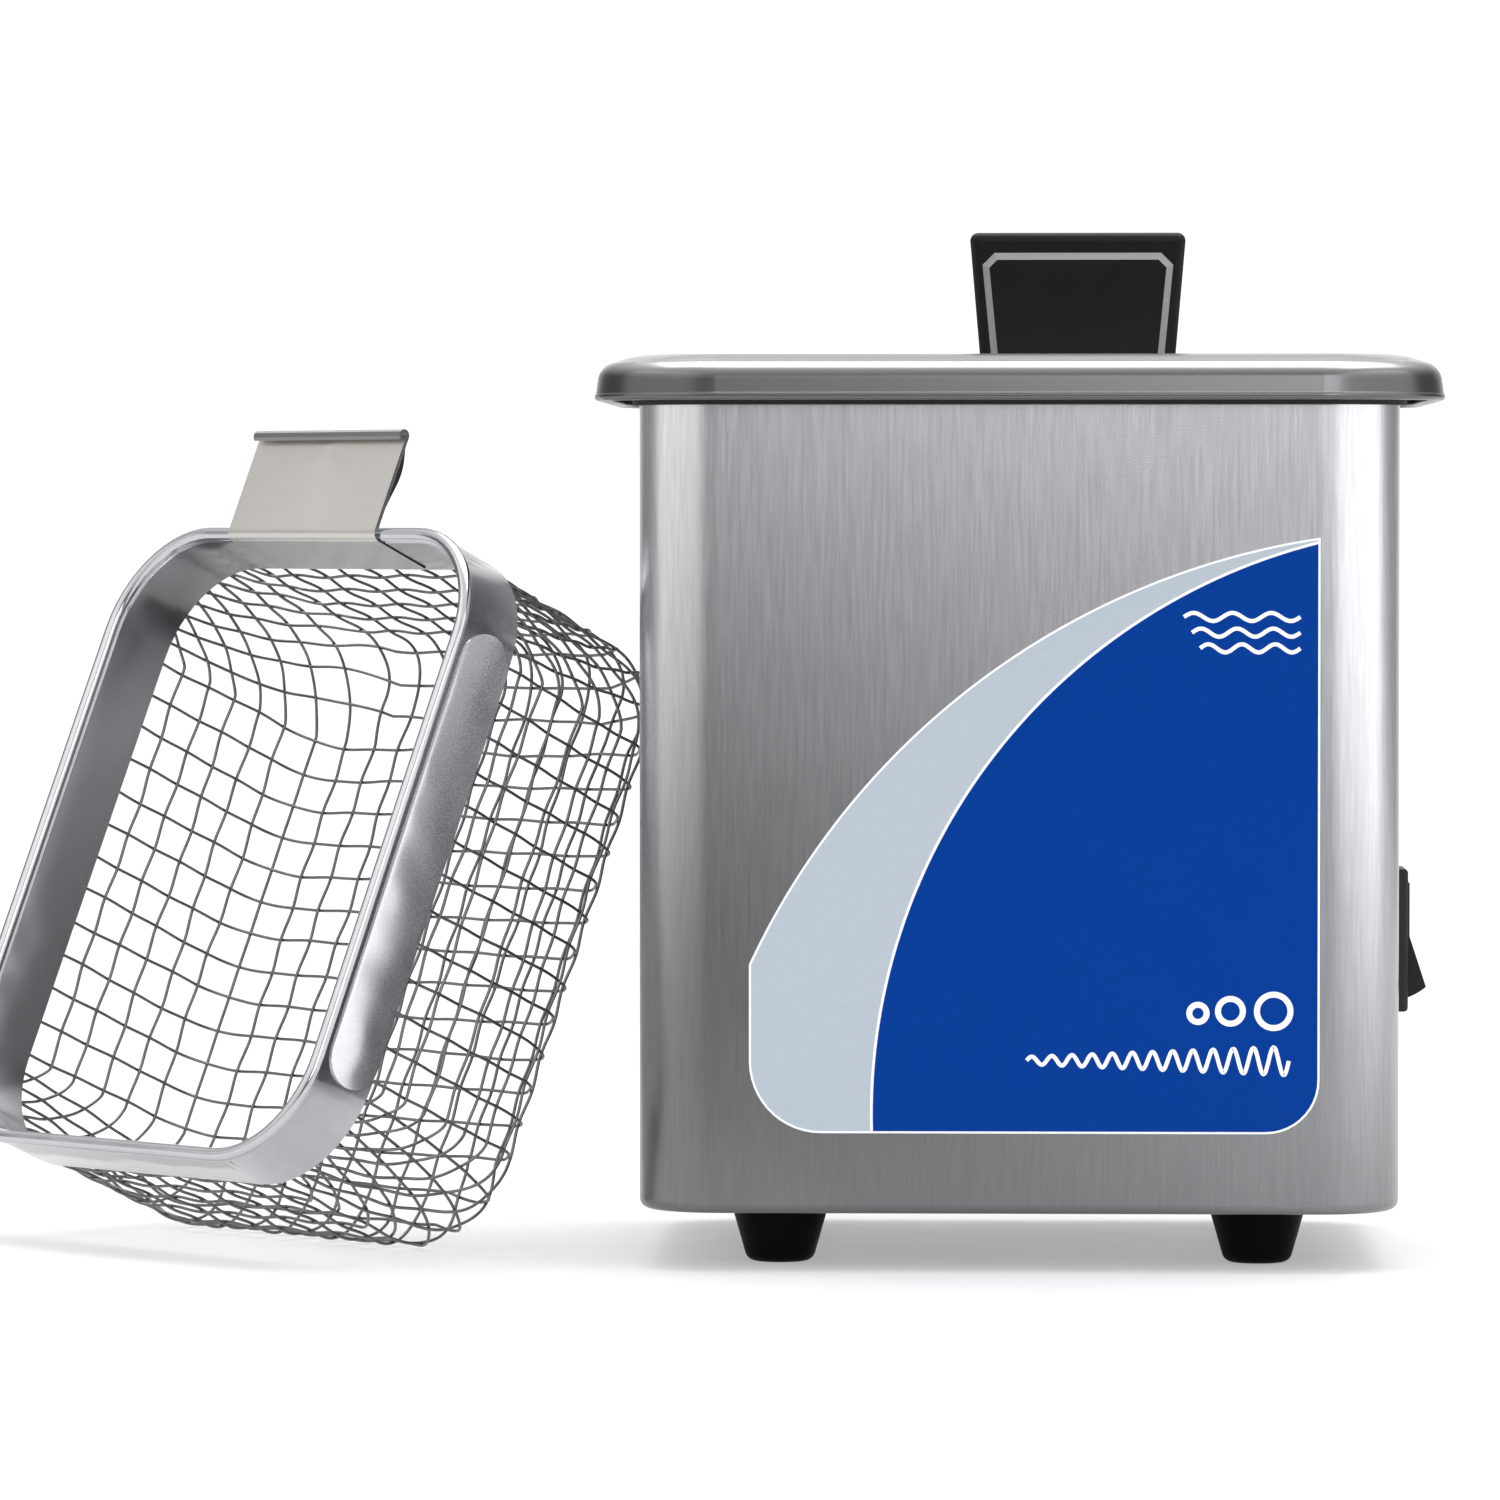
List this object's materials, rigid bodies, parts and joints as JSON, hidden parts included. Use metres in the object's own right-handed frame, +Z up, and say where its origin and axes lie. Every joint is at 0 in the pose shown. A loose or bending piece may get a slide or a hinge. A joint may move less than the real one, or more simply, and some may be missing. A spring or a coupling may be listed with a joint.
{
  "type": "ultrasonic cleaner",
  "caption": "Small bench ultrasonic cleaner: steel case on rubber feet, drawn tank with lift-off lid, side rocker switch, rear mains inlet, and a loose wire basket leaning on its left wall.",
  "frame": {"origin": "on the bench under the centre of the case, in the plane of the feet's undersides", "axes": "+X to the right of the labelled front face, +Y to the back, +Z up; the loose basket lies towards -X"},
  "size_m": [0.2861, 0.1432, 0.1945],
  "materials": {
    "case_steel": "vertical brushed grain",
    "tank_steel": "satin",
    "lid_steel": "brushed",
    "plate_steel": "black powder coat",
    "screw_steel": "bright",
    "zinc_steel": "zinc plated",
    "turned_steel": "turned",
    "black_bolt": "black oxide",
    "machined_aluminium": "machined",
    "black_rubber": "matt",
    "seal_rubber": "matt",
    "label_film": "gloss film",
    "plate_film": "satin foil, blank",
    "switch_plastic": "fine texture",
    "rocker_plastic": "gloss",
    "grip_plastic": "semi-gloss",
    "inlet_plastic": "matt",
    "terminal_brass": "bright",
    "pin_nickel": "nickel plated",
    "piezo_ceramic": "matt",
    "board_laminate": "solder mask",
    "ferrite": "matt",
    "coil_tape": "tape",
    "chip_plastic": "moulded",
    "capacitor_sleeve": "sleeve",
    "film_capacitor": "dipped",
    "choke_winding": "enamelled copper",
    "fuse_glass": "clear",
    "block_green": "moulded",
    "lead_sheath": "sheath",
    "lead_red": "sheath",
    "lead_green": "sheath",
    "band_steel": "polished",
    "mesh_steel": "drawn wire",
    "tab_steel": "satin"
  },
  "bodies": {
    "cleaner": {"housing": "case_steel", "base_plate": "plate_steel", "base_screws": "screw_steel", "feet": "black_rubber", "foot_screws": "screw_steel", "foot_nuts": "zinc_steel", "tank": "tank_steel", "rim_gasket": "seal_rubber", "front_label": "label_film", "rating_plate": "plate_film", "switch_body": "switch_plastic", "switch_terminals": "terminal_brass", "inlet_body": "inlet_plastic", "inlet_pins": "pin_nickel", "inlet_screws": "zinc_steel", "inlet_nuts": "zinc_steel", "transducer_front_masses": "machined_aluminium", "piezo_rings": "piezo_ceramic", "electrodes": "terminal_brass", "transducer_back_masses": "turned_steel", "transducer_bolts": "black_bolt", "circuit_board": "board_laminate", "board_standoffs": "terminal_brass", "board_screws": "screw_steel", "transformer_core": "ferrite", "transformer_coil": "coil_tape", "heat_sink": "machined_aluminium", "power_transistors": "chip_plastic", "capacitors": "capacitor_sleeve", "film_capacitors": "film_capacitor", "rectifier": "chip_plastic", "choke": "choke_winding", "fuse_clips": "terminal_brass", "fuse": "fuse_glass", "terminal_block": "block_green", "mains_leads": "lead_sheath", "transducer_leads": "lead_red", "earth_stud": "zinc_steel", "earth_nut": "zinc_steel", "earth_lead": "lead_green"},
    "lid": {"lid_plate": "lid_steel", "lid_grip": "grip_plastic", "lid_grip_screws": "screw_steel"},
    "switch_rocker": {"rocker": "rocker_plastic"},
    "basket": {"basket_band": "band_steel", "basket_mesh": "mesh_steel", "basket_handle": "tab_steel"}
  },
  "joints": [
    {"name": "lid_lift", "type": "slide", "parent": "cleaner", "child": "lid", "axis": [0, 0, 1], "range_m": [0, 0.06]},
    {"name": "rocker_tilt", "type": "hinge", "parent": "cleaner", "child": "switch_rocker", "pos_m": [0.0694, -0.023, 0.0603], "axis": [0, 1, 0], "range_deg": [0, 18]},
    {"name": "basket_lift", "type": "slide", "parent": "cleaner", "child": "basket", "axis": [-0.6, 0, 0.8], "range_m": [0, 0.15]}
  ]
}
